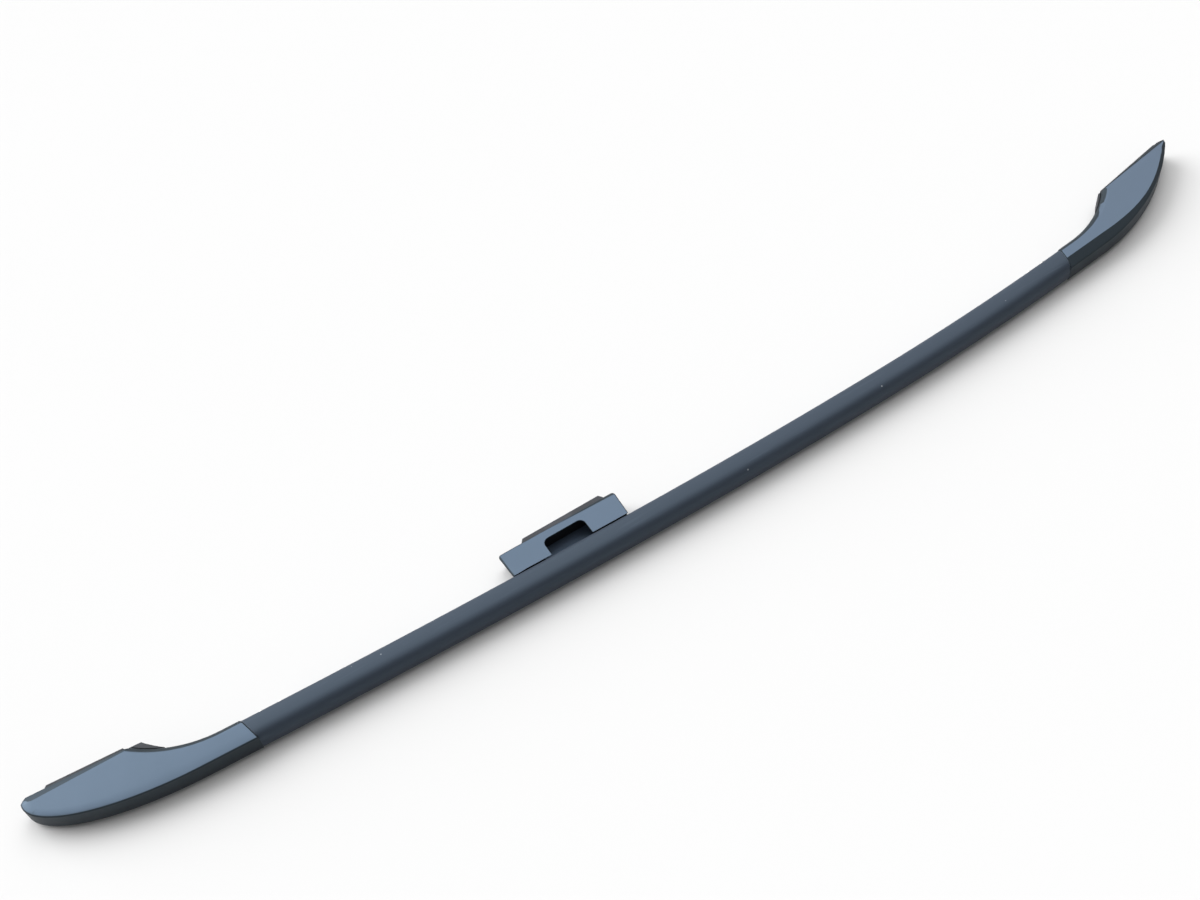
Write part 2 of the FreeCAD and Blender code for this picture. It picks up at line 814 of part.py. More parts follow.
def middle_foot():
    """All the pieces of the middle foot, by node name, and the rivet nuts' seats."""
    mouth_v = middle_sole - base_recess - insert_sink
    base = at_middle(Part.Vertex(Vector(0, mouth_v, centre_z))).Point
    mouths = [base + Vector(side * middle_insert_offset, 0, 0) for side in (-1, 1)]
    seats = []
    for side in (-1, 1):
        station, turned = rail_station(middle_station + side * saddle_screw_offset)
        out = roof_normal(turned)
        seats.append((station + out * (half_height + fit_gap) + UP * centre_z, out))
    head_gap = middle_sole - base_recess - saddle_screw_sink - half_height
    nuts = []
    screws = []
    post_cuts = []
    pad_cuts = []
    for seat, out in seats:
        nut = fused(rod(seat, out, rivet_flange, rivet_flange_radius),
                    rod(seat, out * -1, rivet_nut_length, rivet_nut_radius))
        nut = nut.cut(rod(seat + out * over, out * -1, 2 * over, saddle_screw_radius + fit_gap))
        nuts.append(nut)
        screws.append(screw(seat + out * head_gap, out, saddle_screw_head_radius, saddle_screw_head,
                            saddle_screw_radius, head_gap + rivet_nut_length))
        post_cuts.append(rod(seat, out, 2 * short_over, saddle_screw_radius + saddle_screw_clearance))
        post_cuts.append(rod(seat + out * head_gap, out, 2 * short_over,
                             saddle_screw_head_radius + saddle_screw_clearance))
        pad_cuts.append(rod(seat - out * rivet_flange, out, 2 * short_over,
                            rivet_flange_radius + saddle_screw_clearance))
    begin = middle_station - middle_length
    finish = middle_station + middle_length
    pad_skin = rail_sweep(-saddle_pad, begin, finish)
    cover_skin = rail_sweep(-middle_tube_gap, begin, finish)
    body = at_middle(middle_bracket_body())
    pads = body.common(pad_skin.cut(rail_sweep(-saddle_pad_gap, begin, finish))).cut(pad_cuts)
    roof_side = at_middle(prism(((-over * 2, half_height / 2), (over * 2, half_height / 2),
                                 (over * 2, over), (-over * 2, over)), 0, tube_width))
    return {
        "middle_foot_cover": at_middle(middle_cover()).cut(cover_skin).common(roof_side),
        "middle_foot_bracket": body.cut([pad_skin] + post_cuts + insert_seats(mouths)).common(roof_side),
        "middle_saddle_pads": pads.common(roof_side),
        "middle_foot_gasket": at_middle(middle_gasket()).cut(bolt_holes(mouths)),
        "middle_saddle_screws": Part.makeCompound(screws),
        "middle_rivet_nuts": Part.makeCompound(nuts),
        "middle_fixing_inserts": Part.makeCompound([insert(mouth) for mouth in mouths]),
    }, seats


def rail_tube(tube_skin, nut_seats):
    """The bent tube with slanted ends and holes for its screws and rivet nuts."""
    bore = rail_sweep(tube_wall, -over, rail_length + over)
    holes = []
    for seat, out in spigot_screw_seats(0, 1) + spigot_screw_seats(rail_length, -1):
        holes.append(rod(seat + out, out * -1, short_over / 2, spigot_screw_radius + fit_gap))
    for seat, out in nut_seats:
        holes.append(rod(seat + out, out * -1, short_over / 2, rivet_nut_radius + fit_gap))
    wedge = outboard_wedge()
    return tube_skin.cut([bore, at_front(wedge), at_rear(wedge)] + holes)


def build():
    """Every piece of the rail, by node name, in the rail's own frame."""
    reach = math.tan(math.radians(joint_slant)) * tube_height
    tube_skin = rail_sweep(0, -reach, rail_length + reach)
    middle, nut_seats = middle_foot()
    pieces = {"rail_tube": rail_tube(tube_skin, nut_seats)}
    pieces.update(end_foot("front", front_sizes, at_front, 0, 1))
    pieces.update(end_foot("rear", rear_sizes, at_rear, rail_length, -1))
    pieces.update(middle)
    return pieces


def export(pieces):
    """Centres the rail over the origin and writes one file per piece."""
    box = Part.makeCompound(list(pieces.values())).optimalBoundingBox(False, False)
    shift = Vector(-box.Center.x, -box.Center.y, -box.ZMin)
    os.makedirs("parts", exist_ok=True)
    for name, shape in pieces.items():
        shape.translate(shift)
        shape.exportStep("parts/" + name + ".step")


export(build())
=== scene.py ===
"""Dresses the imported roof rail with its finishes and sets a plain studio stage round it."""

import math

import bmesh
import bpy
from mathutils import Matrix, Vector


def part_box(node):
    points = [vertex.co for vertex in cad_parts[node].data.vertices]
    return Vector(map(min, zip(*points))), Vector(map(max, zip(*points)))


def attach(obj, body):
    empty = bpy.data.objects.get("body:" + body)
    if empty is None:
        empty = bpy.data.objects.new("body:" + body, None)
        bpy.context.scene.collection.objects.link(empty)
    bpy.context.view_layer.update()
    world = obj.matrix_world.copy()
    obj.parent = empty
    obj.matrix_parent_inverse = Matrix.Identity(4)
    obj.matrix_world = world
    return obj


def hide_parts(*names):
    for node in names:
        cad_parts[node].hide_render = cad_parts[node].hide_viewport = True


bl_info = {
    "name": "Roof Rail Dresser",
    "version": (1, 0, 0),
    "blender": (4, 5, 0),
    "location": "View3D > Sidebar > Roof Rail",
    "description": "Finishes the pieces of a car roof rail and lights them on a plain floor",
    "category": "Object",
}

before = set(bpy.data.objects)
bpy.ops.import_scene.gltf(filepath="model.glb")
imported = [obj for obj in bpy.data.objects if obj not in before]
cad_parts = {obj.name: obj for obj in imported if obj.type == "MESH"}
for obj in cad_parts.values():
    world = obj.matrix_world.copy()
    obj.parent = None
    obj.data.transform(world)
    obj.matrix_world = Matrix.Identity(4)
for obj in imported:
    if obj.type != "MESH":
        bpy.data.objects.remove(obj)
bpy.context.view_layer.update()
tube_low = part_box("rail_tube")[0]

MILLIMETRE = 0.001
FLOOR_CORNERS = 96

# The photograph's width in pixels and the camera's sensor width in millimetres
PHOTO_WIDTH = 1200
SENSOR_WIDTH = 36.0

# Places of a Mix node's colour sockets, whose names repeat for each kind of value
MIX_FIRST = 6
MIX_SECOND = 7
MIX_RESULT = 2

# Specks: the solid share of a speck's radius, and the width of the step that picks its cells
SPECK_CORE = 0.5
SPECK_STEP = 0.01
EDGE_SAMPLES = 8

# Upward parts of the normals where a cover's wall, painted in shade, ends and where its face begins
WALL_LEAN = 0.960
FACE_LEAN = 0.988

# Parts of the normals by which the rear cover's bevel is told from its walls, heel and face
BEVEL_LEAST_X = -0.2
BEVEL_MOST_Y = 0.3
BEVEL_LEAST_Z = 0.2
BEVEL_MOST_Z = 0.95

# Meshes: how close corners are welded, the profile of a round edge and how far flat faces lead in shading
WELD = 0.01 * MILLIMETRE
ROUND_PROFILE = 0.5
FLAT_FACE_WEIGHT = 80

# The tube's bent axis from the front joint: lengths in metres, turns in degrees
FRONT_SLOPE = 3.16
RAIL_ARCS = ((0.584, 2.46), (0.300, 2.2), (0.302, 4.24))
RAIL_LENGTH = sum(length for length, turn in RAIL_ARCS)
TUBE_HALF = 17.0 * MILLIMETRE
TUBE_WALL = 2.5 * MILLIMETRE
JOINT_SLANT = math.tan(math.radians(18.0))

REAR_COVER = "rear_foot_cover"
END_COVERS = ("front_foot_cover", REAR_COVER)
MIDDLE_COVER = "middle_foot_cover"
GASKETS = ("front_foot_gasket", "rear_foot_gasket", "middle_foot_gasket", "middle_saddle_pads")
CASTINGS = ("front_foot_bracket", "rear_foot_bracket", "middle_foot_bracket")
FASTENERS = (
    "front_spigot_screws", "rear_spigot_screws", "front_cover_screw", "rear_cover_screw",
    "front_fixing_inserts", "rear_fixing_inserts", "middle_fixing_inserts",
    "middle_saddle_screws", "middle_rivet_nuts",
)


class Wire:
    """A socket whose arithmetic adds Math nodes."""

    def __init__(self, sheet, socket):
        self.sheet = sheet
        self.socket = socket

    def calculate(self, operation, *values):
        """Adds one Math node and returns its result."""
        node = self.sheet.node("ShaderNodeMath", {"operation": operation}, dict(enumerate(values)))
        return Wire(self.sheet, node.outputs[0])

    def __add__(self, other):
        return self.calculate("ADD", self, other)

    def __radd__(self, other):
        return self.calculate("ADD", other, self)

    def __sub__(self, other):
        return self.calculate("SUBTRACT", self, other)

    def __rsub__(self, other):
        return self.calculate("SUBTRACT", other, self)

    def __mul__(self, other):
        return self.calculate("MULTIPLY", self, other)

    def __rmul__(self, other):
        return self.calculate("MULTIPLY", other, self)

    def sway(self, reach):
        """A value from 0 to 1 turned into a change to either side, this far from end to end."""
        return (self - 0.5) * reach

    def ramp(self, start, end):
        """A smooth step from 0 at start to 1 at end."""
        settings = {"interpolation_type": "SMOOTHSTEP"}
        inputs = {"Value": self, "From Min": start, "From Max": end}
        return self.sheet.wire("ShaderNodeMapRange", "Result", settings, inputs)


class Sheet:
    """The node sheet of one material or of the world."""

    def __init__(self, owner):
        owner.use_nodes = True
        self.tree = owner.node_tree
        self.tree.nodes.clear()

    def node(self, kind, settings=None, inputs=None):
        """Adds a node, makes its settings and then sets or links its sockets."""
        made = self.tree.nodes.new(kind)
        for name, value in (settings or {}).items():
            setattr(made, name, value)
        for name, value in (inputs or {}).items():
            if isinstance(value, Wire):
                self.tree.links.new(value.socket, made.inputs[name])
            else:
                made.inputs[name].default_value = value
        return made

    def wire(self, kind, output, settings=None, inputs=None):
        """Adds a node and returns one of its outputs."""
        return Wire(self, self.node(kind, settings, inputs).outputs[output])

    def place(self, stretch=(1.0, 1.0, 1.0)):
        """The place on the part in metres, stretched along each axis."""
        spot = self.wire("ShaderNodeTexCoord", "Object")
        return self.wire("ShaderNodeMapping", "Vector", None, {"Vector": spot, "Scale": stretch})

    def noise(self, place, size, detail=2.0):
        """Noise from 0 to 1 whose lumps have about this size in metres."""
        inputs = {"Vector": place, "Scale": 1 / size, "Detail": detail}
        return self.wire("ShaderNodeTexNoise", "Fac", None, inputs)

    def mix(self, share, first, second):
        """A colour between two colours."""
        inputs = {"Factor": share}
        for socket, colour in ((MIX_FIRST, first), (MIX_SECOND, second)):
            inputs[socket] = colour if isinstance(colour, Wire) else rgba(colour)
        return self.wire("ShaderNodeMix", MIX_RESULT, {"data_type": "RGBA"}, inputs)

    def drifting(self, drift, colour, spread):
        """A colour that drifts from darker to lighter by a spread."""
        return self.mix(drift, dim(colour, 1.0 - spread), dim(colour, 1.0 + spread))

    def edge_wear_and_highlight(self, radius):
        """A mask of the sharp edges within a radius, from how far their rounded normal leans; it lightens
        edges as wear and as a painted highlight.
        """
        rounded = self.wire("ShaderNodeBevel", "Normal", {"samples": EDGE_SAMPLES}, {"Radius": radius})
        normal = self.wire("ShaderNodeNewGeometry", "Normal")
        settings = {"operation": "DOT_PRODUCT"}
        return 1.0 - self.wire("ShaderNodeVectorMath", "Value", settings, {0: rounded, 1: normal})

    def facing_up(self, start, end):
        """A mask of the faces that look to the rail's outer side; the covers' walls and slopes outside it
        get painted shade.
        """
        normal = self.wire("ShaderNodeNewGeometry", "Normal")
        return self.wire("ShaderNodeSeparateXYZ", "Z", None, {"Vector": normal}).ramp(start, end)

    def specks(self, place, size, share, radius):
        """A mask of small round specks, one in each of a share of the cells of this size."""
        cells = self.node("ShaderNodeTexVoronoi", {"feature": "F1"}, {"Vector": place, "Scale": 1 / size})
        distance = Wire(self, cells.outputs["Distance"])
        colour = Wire(self, cells.outputs["Color"])
        chance = self.wire("ShaderNodeSeparateColor", "Red", None, {"Color": colour})
        near = 1.0 - distance.ramp(SPECK_CORE * radius / size, radius / size)
        return near * chance.ramp(1.0 - share, 1.0 - share + SPECK_STEP)

    def bump(self, height, distance, strength, normal=None):
        """A normal bumped by a height in a range of metres."""
        inputs = {"Height": height, "Distance": distance, "Strength": strength}
        if normal is not None:
            inputs["Normal"] = normal
        return self.wire("ShaderNodeBump", "Normal", None, inputs)

    def surface(self, **inputs):
        """Joins the shader to the sheet's output."""
        named = {name.replace("_", " "): value for name, value in inputs.items()}
        shader = self.wire("ShaderNodeBsdfPrincipled", "BSDF", None, named)
        self.node("ShaderNodeOutputMaterial", None, {"Surface": shader})


def rail_station(distance):
    """The point and heading of the tube's axis at a distance from the front joint."""
    point = Vector((0.0, 0.0, 0.0))
    heading = -math.radians(FRONT_SLOPE)
    left = distance
    for index, (length, turn) in enumerate(RAIL_ARCS):
        last = index == len(RAIL_ARCS) - 1
        step = left if last else min(left, length)
        radius = length / math.radians(turn)
        after = heading + step / radius
        point.x += radius * (math.sin(after) - math.sin(heading))
        point.y += radius * (math.cos(heading) - math.cos(after))
        heading = after
        left -= step
        if left <= 0.0:
            break
    return point, heading


def rail_point(distance, across, up):
    """A point beside the tube's axis, across towards the roof and up towards the outer side."""
    point, heading = rail_station(distance)
    return point + Vector((-math.sin(heading) * across, math.cos(heading) * across, up))


def section_offset(angle, half, power):
    """A point of a square section whose corners are rounded without a break in curvature."""
    across = math.copysign(abs(math.cos(angle)) ** (2 / power), math.cos(angle))
    up = math.copysign(abs(math.sin(angle)) ** (2 / power), math.sin(angle))
    return half * across, half * up


def tube_stations(step, chamfer):
    """Distances along the tube, with one close to each end for the edge's chamfer."""
    count = round(RAIL_LENGTH / step)
    inner = [RAIL_LENGTH * index / count for index in range(1, count)]
    return [0.0, chamfer, *inner, RAIL_LENGTH - chamfer, RAIL_LENGTH]


def slanted(distance, across, fade):
    """A distance along the tube, drawn out towards each end so that the ends are slanted."""
    front = max(0.0, 1.0 - distance / fade)
    rear = max(0.0, 1.0 - (RAIL_LENGTH - distance) / fade)
    return distance + (rear - front) * JOINT_SLANT * across


def tube_rings(forms, half, chamfer):
    """Rings of points along the tube's outer or inner wall, shrunk by the chamfer at both ends."""
    rings = []
    for distance in tube_stations(forms.ring_step, forms.end_chamfer):
        at_end = distance in (0.0, RAIL_LENGTH)
        reach = half - chamfer if at_end else half
        ring = []
        for index in range(forms.ring_points):
            angle = 2 * math.pi * index / forms.ring_points
            across, up = section_offset(angle, reach, forms.section_power)
            ring.append(rail_point(slanted(distance, across, forms.slant_fade), across, up))
        rings.append(ring)
    return rings


def tube_mesh(forms):
    """The hollow tube's mesh, put where the CAD tube's foremost corner is."""
    outer = tube_rings(forms, TUBE_HALF, forms.end_chamfer)
    inner = tube_rings(forms, TUBE_HALF - TUBE_WALL, 0.0)
    rings = outer + inner[::-1]
    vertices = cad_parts["rail_tube"].data.vertices
    corner = min((vertex.co for vertex in vertices), key=lambda spot: spot.x)
    shift = corner - rail_point(slanted(0.0, TUBE_HALF, forms.slant_fade), TUBE_HALF, 0.0)
    shift.z = TUBE_HALF
    shape = bmesh.new()
    loops = [[shape.verts.new(spot + shift) for spot in ring] for ring in rings]
    for first, second in zip(loops, loops[1:] + loops[:1]):
        for index in range(forms.ring_points):
            after = (index + 1) % forms.ring_points
            shape.faces.new((first[index], first[after], second[after], second[index]))
    bmesh.ops.recalc_face_normals(shape, faces=shape.faces)
    return shape


def fold_down(shape, start, end, slope, floor):
    """Creases the upper wall along a line and lets what lies to its left fall away at a slope."""
    along = (end - start).normalized()
    out = Vector((-along.y, along.x, 0.0))
    everything = [*shape.verts, *shape.edges, *shape.faces]
    bmesh.ops.bisect_plane(shape, geom=everything, dist=WELD, plane_co=start, plane_no=out)
    for vertex in shape.verts:
        beyond = (vertex.co - start).dot(out)
        if beyond > 0.0 and vertex.co.z > floor:
            vertex.co.z -= beyond * slope


def smooth_step(value, start, end):
    """A smooth step from 0 at start to 1 at end."""
    share = min(1.0, max(0.0, (value - start) / (end - start)))
    return share * share * (3.0 - 2.0 * share)


def on_bevel(normal):
    """Tells whether a facet with this normal belongs to the rear cover's bevel."""
    outward = normal.x > BEVEL_LEAST_X and normal.y < BEVEL_MOST_Y
    return outward and BEVEL_LEAST_Z < normal.z < BEVEL_MOST_Z


def narrow_bevel(shape, forms):
    """Lets the rear cover's bevel grow narrow towards the nose at the same slope."""
    low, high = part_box(REAR_COVER)
    lower = high.z - forms.bevel_drop
    shape.normal_update()
    moves = []
    for vertex in shape.verts:
        slopes = [face.normal for face in vertex.link_faces if on_bevel(face.normal)]
        if not slopes or vertex.co.z <= lower - forms.bevel_slack:
            continue
        along = (vertex.co.x - low.x) / (high.x - low.x)
        shrink = forms.bevel_loss * smooth_step(along, forms.bevel_begin, forms.bevel_end)
        lean = sum(slopes, Vector()).normalized()
        out = Vector((lean.x, lean.y, 0.0))
        inset = max(0.0, vertex.co.z - lower) * lean.z / out.length
        lift = Vector((0.0, 0.0, high.z - vertex.co.z))
        moves.append((vertex, (out.normalized() * inset + lift) * shrink))
    for vertex, move in moves:
        vertex.co += move


def rounded_edges(shape, radius, forms):
    """Rounds the shell's sharp outer edges above a level."""
    edges = []
    for edge in shape.edges:
        high = min(vertex.co.z for vertex in edge.verts) > forms.edge_level
        if high and edge.is_manifold and edge.is_convex and edge.calc_face_angle() > forms.sharp_angle:
            edges.append(edge)
    bmesh.ops.bevel(
        shape, geom=edges, offset=radius, offset_type="OFFSET", segments=forms.edge_segments,
        profile=ROUND_PROFILE, affect="EDGES", clamp_overlap=False)


def welded_copy(name, flat):
    """A CAD node's mesh with its facets welded and its flat faces joined."""
    shape = bmesh.new()
    shape.from_mesh(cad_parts[name].data)
    bmesh.ops.remove_doubles(shape, verts=shape.verts, dist=WELD)
    bmesh.ops.dissolve_limit(shape, angle_limit=flat, verts=shape.verts, edges=shape.edges)
    return shape


def stand_for(name, shape, material, crease):
    """Makes a smooth piece of a mesh, which stands for a CAD node and rides on the one body."""
    mesh = bpy.data.meshes.new(name + "_skin")
    shape.to_mesh(mesh)
    shape.free()
    mesh.shade_smooth()
    mesh.set_sharp_from_angle(angle=crease)
    mesh.materials.append(material)
    piece = bpy.data.objects.new(name + "_skin", mesh)
    bpy.context.collection.objects.link(piece)
    weighing = piece.modifiers.new("flat_faces_first", "WEIGHTED_NORMAL")
    weighing.keep_sharp = True
    weighing.weight = FLAT_FACE_WEIGHT
    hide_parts(name)
    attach(piece, "root")


def dim(colour, share):
    """A colour made darker or lighter by a share."""
    return tuple(part * share for part in colour)


def rgba(colour):
    """A colour with full cover, as a shader socket takes it."""
    return (*colour, 1.0)


def coated_aluminium(finishes):
    """Matt powder coat: orange peel, drifting tone, rubbed streaks, bare nicks, and pale ends that are bare
    cut metal with a painted highlight.
    """
    material = bpy.data.materials.new("coated_tube")
    sheet = Sheet(material)
    place = sheet.place()
    along_tube = sheet.place(stretch=(0.06, 1.0, 1.0))
    drift = sheet.noise(place, size=120.0 * MILLIMETRE, detail=3.0)
    peel = sheet.noise(place, size=finishes.coat_peel)
    streaks = sheet.noise(along_tube, size=4.0 * MILLIMETRE, detail=3.0).ramp(start=0.55, end=0.8)
    nicks = sheet.specks(place, finishes.nick_spacing, finishes.nick_share, finishes.nick_radius)
    # Pale cut ends: bare metal and a painted highlight line where the tube meets the covers
    ends = sheet.edge_wear_and_highlight(radius=0.8 * MILLIMETRE).ramp(start=0.02, end=0.15)
    tone = sheet.drifting(drift, finishes.coat_color, finishes.tone_drift)
    rubbed = sheet.mix(streaks * finishes.coat_rub, tone, dim(finishes.coat_color, share=1.5))
    nicked = sheet.mix(nicks * finishes.nick_bareness, rubbed, finishes.bare_dust_and_highlight_color)
    colour = sheet.mix(ends * finishes.end_bareness_and_highlight, nicked, finishes.bare_dust_and_highlight_color)
    sheet.surface(
        Base_Color=colour,
        Roughness=finishes.coat_roughness + drift.sway(reach=0.08) - streaks * 0.05,
        Normal=sheet.bump(peel, distance=0.08 * MILLIMETRE, strength=0.35),
        # Painted reflection: the gloss is tinted blue so that neutral lamps reflect as a blue sky would
        Specular_Tint=rgba(finishes.sky_sheen_tint),
        Specular_IOR_Level=finishes.coat_gloss)
    return material


def satin_plastic(finishes):
    """Satin moulded plastic: fine grain, sinks, walls and slopes darkened by painted shade, drifting tone,
    dust, and edges lightened by rubbed wear and a painted highlight.
    """
    material = bpy.data.materials.new("cover_plastic")
    sheet = Sheet(material)
    place = sheet.place()
    drift = sheet.noise(place, size=50.0 * MILLIMETRE, detail=3.0)
    grain = sheet.noise(place, size=finishes.cover_grain, detail=3.0)
    dust = sheet.specks(place, size=6.0 * MILLIMETRE, share=0.1, radius=0.3 * MILLIMETRE)
    lumps = sheet.noise(place, size=16.0 * MILLIMETRE)
    sinks = sheet.bump(lumps, distance=0.4 * MILLIMETRE, strength=0.3)
    edges = sheet.edge_wear_and_highlight(radius=0.6 * MILLIMETRE).ramp(start=0.02, end=0.2)
    tone = sheet.drifting(drift, finishes.cover_color, finishes.tone_drift)
    # Painted shade: walls and slopes that lean away from the outer side are mixed to a near-black colour in
    # place of the covers' own tone; the same mask makes them rougher
    facing = sheet.facing_up(WALL_LEAN, FACE_LEAN)
    wall_shaded = sheet.mix(facing, finishes.cover_wall_shade_color, tone)
    # Rubbed wear and painted highlight: the sharp edges are mixed to a lighter copy of the covers' colour,
    # standing also for the light line that a rounded edge catches
    rubbed = sheet.mix(edges * finishes.cover_rub_and_highlight, wall_shaded, dim(finishes.cover_color, share=1.6))
    colour = sheet.mix(dust * finishes.cover_dust, rubbed, finishes.bare_dust_and_highlight_color)
    satin = finishes.cover_roughness + drift.sway(reach=0.2) + grain.sway(reach=0.08)
    sheet.surface(
        Base_Color=colour,
        Roughness=satin + (1.0 - facing) * finishes.wall_dullness,
        Normal=sheet.bump(grain, distance=0.05 * MILLIMETRE, strength=0.3, normal=sinks),
        # Painted reflection: the gloss is tinted blue so that neutral lamps reflect as a blue sky would
        Specular_Tint=rgba(finishes.sky_sheen_tint),
        Specular_IOR_Level=finishes.cover_gloss)
    return material


def gasket_rubber(finishes):
    """Matt black rubber with a fine skin and a little pale dust."""
    material = bpy.data.materials.new("gasket_rubber")
    sheet = Sheet(material)
    place = sheet.place()
    skin = sheet.noise(place, size=0.9 * MILLIMETRE, detail=4.0)
    bloom = sheet.noise(place, size=20.0 * MILLIMETRE, detail=4.0).ramp(start=0.45, end=0.75)
    paler = dim(finishes.rubber_color, share=1.8)
    colour = sheet.mix(bloom * finishes.rubber_bloom, finishes.rubber_color, paler)
    sheet.surface(
        Base_Color=colour,
        Roughness=finishes.rubber_roughness + skin.sway(reach=0.15),
        Normal=sheet.bump(skin, distance=0.12 * MILLIMETRE, strength=0.4),
        Specular_IOR_Level=finishes.rubber_gloss)
    return material


def coated_casting(finishes):
    """Black dip-coated die casting with a pebbled skin."""
    material = bpy.data.materials.new("cast_aluminium")
    sheet = Sheet(material)
    place = sheet.place()
    pebbles = sheet.noise(place, size=1.6 * MILLIMETRE, detail=4.0)
    runs = sheet.noise(place, size=30.0 * MILLIMETRE, detail=3.0)
    thin = dim(finishes.casting_color, share=1.3)
    thick = dim(finishes.casting_color, share=0.8)
    colour = sheet.mix(runs, thick, thin)
    sheet.surface(
        Base_Color=colour,
        Roughness=finishes.casting_roughness + pebbles.sway(reach=0.2),
        Normal=sheet.bump(pebbles, distance=0.2 * MILLIMETRE, strength=0.4),
        Specular_IOR_Level=finishes.casting_gloss)
    return material


def zinc_steel(finishes):
    """Zinc-plated steel with a fine turned grain and dull patches."""
    material = bpy.data.materials.new("zinc_steel")
    sheet = Sheet(material)
    along_screw = sheet.place(stretch=(1.0, 0.15, 1.0))
    turned = sheet.noise(along_screw, size=0.4 * MILLIMETRE)
    dull = sheet.noise(sheet.place(), size=4.0 * MILLIMETRE, detail=3.0)
    colour = sheet.mix(dull, dim(finishes.zinc_color, share=0.75), finishes.zinc_color)
    sheet.surface(
        Base_Color=colour,
        Metallic=1.0,
        Roughness=finishes.zinc_roughness + dull * 0.2,
        Normal=sheet.bump(turned, distance=0.03 * MILLIMETRE, strength=0.3))
    return material


def dress(nodes, material):
    """Gives CAD nodes a finish."""
    for name in nodes:
        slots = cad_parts[name].data.materials
        slots.clear()
        slots.append(material)


